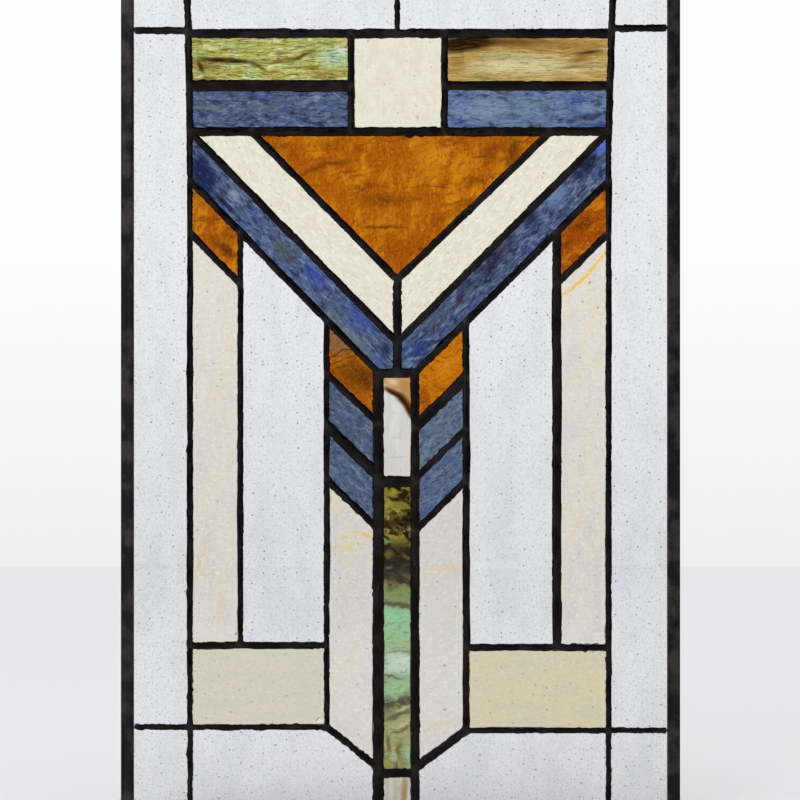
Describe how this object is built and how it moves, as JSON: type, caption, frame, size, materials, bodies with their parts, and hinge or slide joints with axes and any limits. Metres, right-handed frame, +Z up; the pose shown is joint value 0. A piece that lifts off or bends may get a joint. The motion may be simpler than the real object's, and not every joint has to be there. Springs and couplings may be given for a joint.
{
  "type": "leaded window panel",
  "caption": "Upright leaded glass panel with a geometric chevron and stem pattern in coloured and clear glass, edged with border came for a window rebate.",
  "frame": {"origin": "middle of the bottom edge of the border came, at half the panel's depth, where it stands on the sill", "axes": "+X to the viewer's right, +Y out of the back, +Z up; the front faces -Y"},
  "size_m": [0.419, 0.0066, 0.654],
  "materials": {
    "lead_came": "dark, dull patina",
    "border_came": "dark, dull patina",
    "clear_seedy_glass": "clear with seeds",
    "cream_hammered_glass": "hammered, translucent, streaked or mottled, lit from behind in use",
    "amber_glass": "translucent, streaked or mottled, lit from behind in use",
    "blue_streaky_glass": "translucent, streaked or mottled, lit from behind in use",
    "green_streaky_glass": "translucent, streaked or mottled, lit from behind in use",
    "white_opal_glass": "translucent, streaked or mottled, lit from behind in use",
    "straw_opal_glass": "translucent, streaked or mottled, lit from behind in use",
    "brown_agate_glass": "translucent, streaked or mottled, lit from behind in use"
  },
  "bodies": {
    "root": {"agate_collar": "brown_agate_glass", "amber_gable": "amber_glass", "bottom_border": "border_came", "cream_header": "cream_hammered_glass", "green_shaft": "green_streaky_glass", "lead_matrix": "lead_came", "left_amber_barb": "amber_glass", "left_amber_wing": "amber_glass", "left_blue_chevron": "blue_streaky_glass", "left_blue_header": "blue_streaky_glass", "left_border": "border_came", "left_bottom_corner": "clear_seedy_glass", "left_bottom_light": "clear_seedy_glass", "left_cream_chevron": "cream_hammered_glass", "left_green_header": "green_streaky_glass", "left_long_light": "clear_seedy_glass", "left_lower_blue_barb": "blue_streaky_glass", "left_opal_drop": "white_opal_glass", "left_opal_strip": "white_opal_glass", "left_side_light": "clear_seedy_glass", "left_straw_block": "straw_opal_glass", "left_top_corner": "clear_seedy_glass", "left_top_light": "clear_seedy_glass", "left_upper_blue_barb": "blue_streaky_glass", "right_amber_barb": "amber_glass", "right_amber_wing": "amber_glass", "right_blue_chevron": "blue_streaky_glass", "right_blue_header": "blue_streaky_glass", "right_border": "border_came", "right_bottom_corner": "clear_seedy_glass", "right_bottom_light": "clear_seedy_glass", "right_cream_chevron": "cream_hammered_glass", "right_green_header": "green_streaky_glass", "right_long_light": "clear_seedy_glass", "right_lower_blue_barb": "blue_streaky_glass", "right_opal_drop": "white_opal_glass", "right_opal_strip": "white_opal_glass", "right_side_light": "clear_seedy_glass", "right_straw_block": "straw_opal_glass", "right_top_corner": "clear_seedy_glass", "right_top_light": "clear_seedy_glass", "right_upper_blue_barb": "blue_streaky_glass", "tail_light": "brown_agate_glass", "top_border": "border_came"}
  },
  "joints": []
}
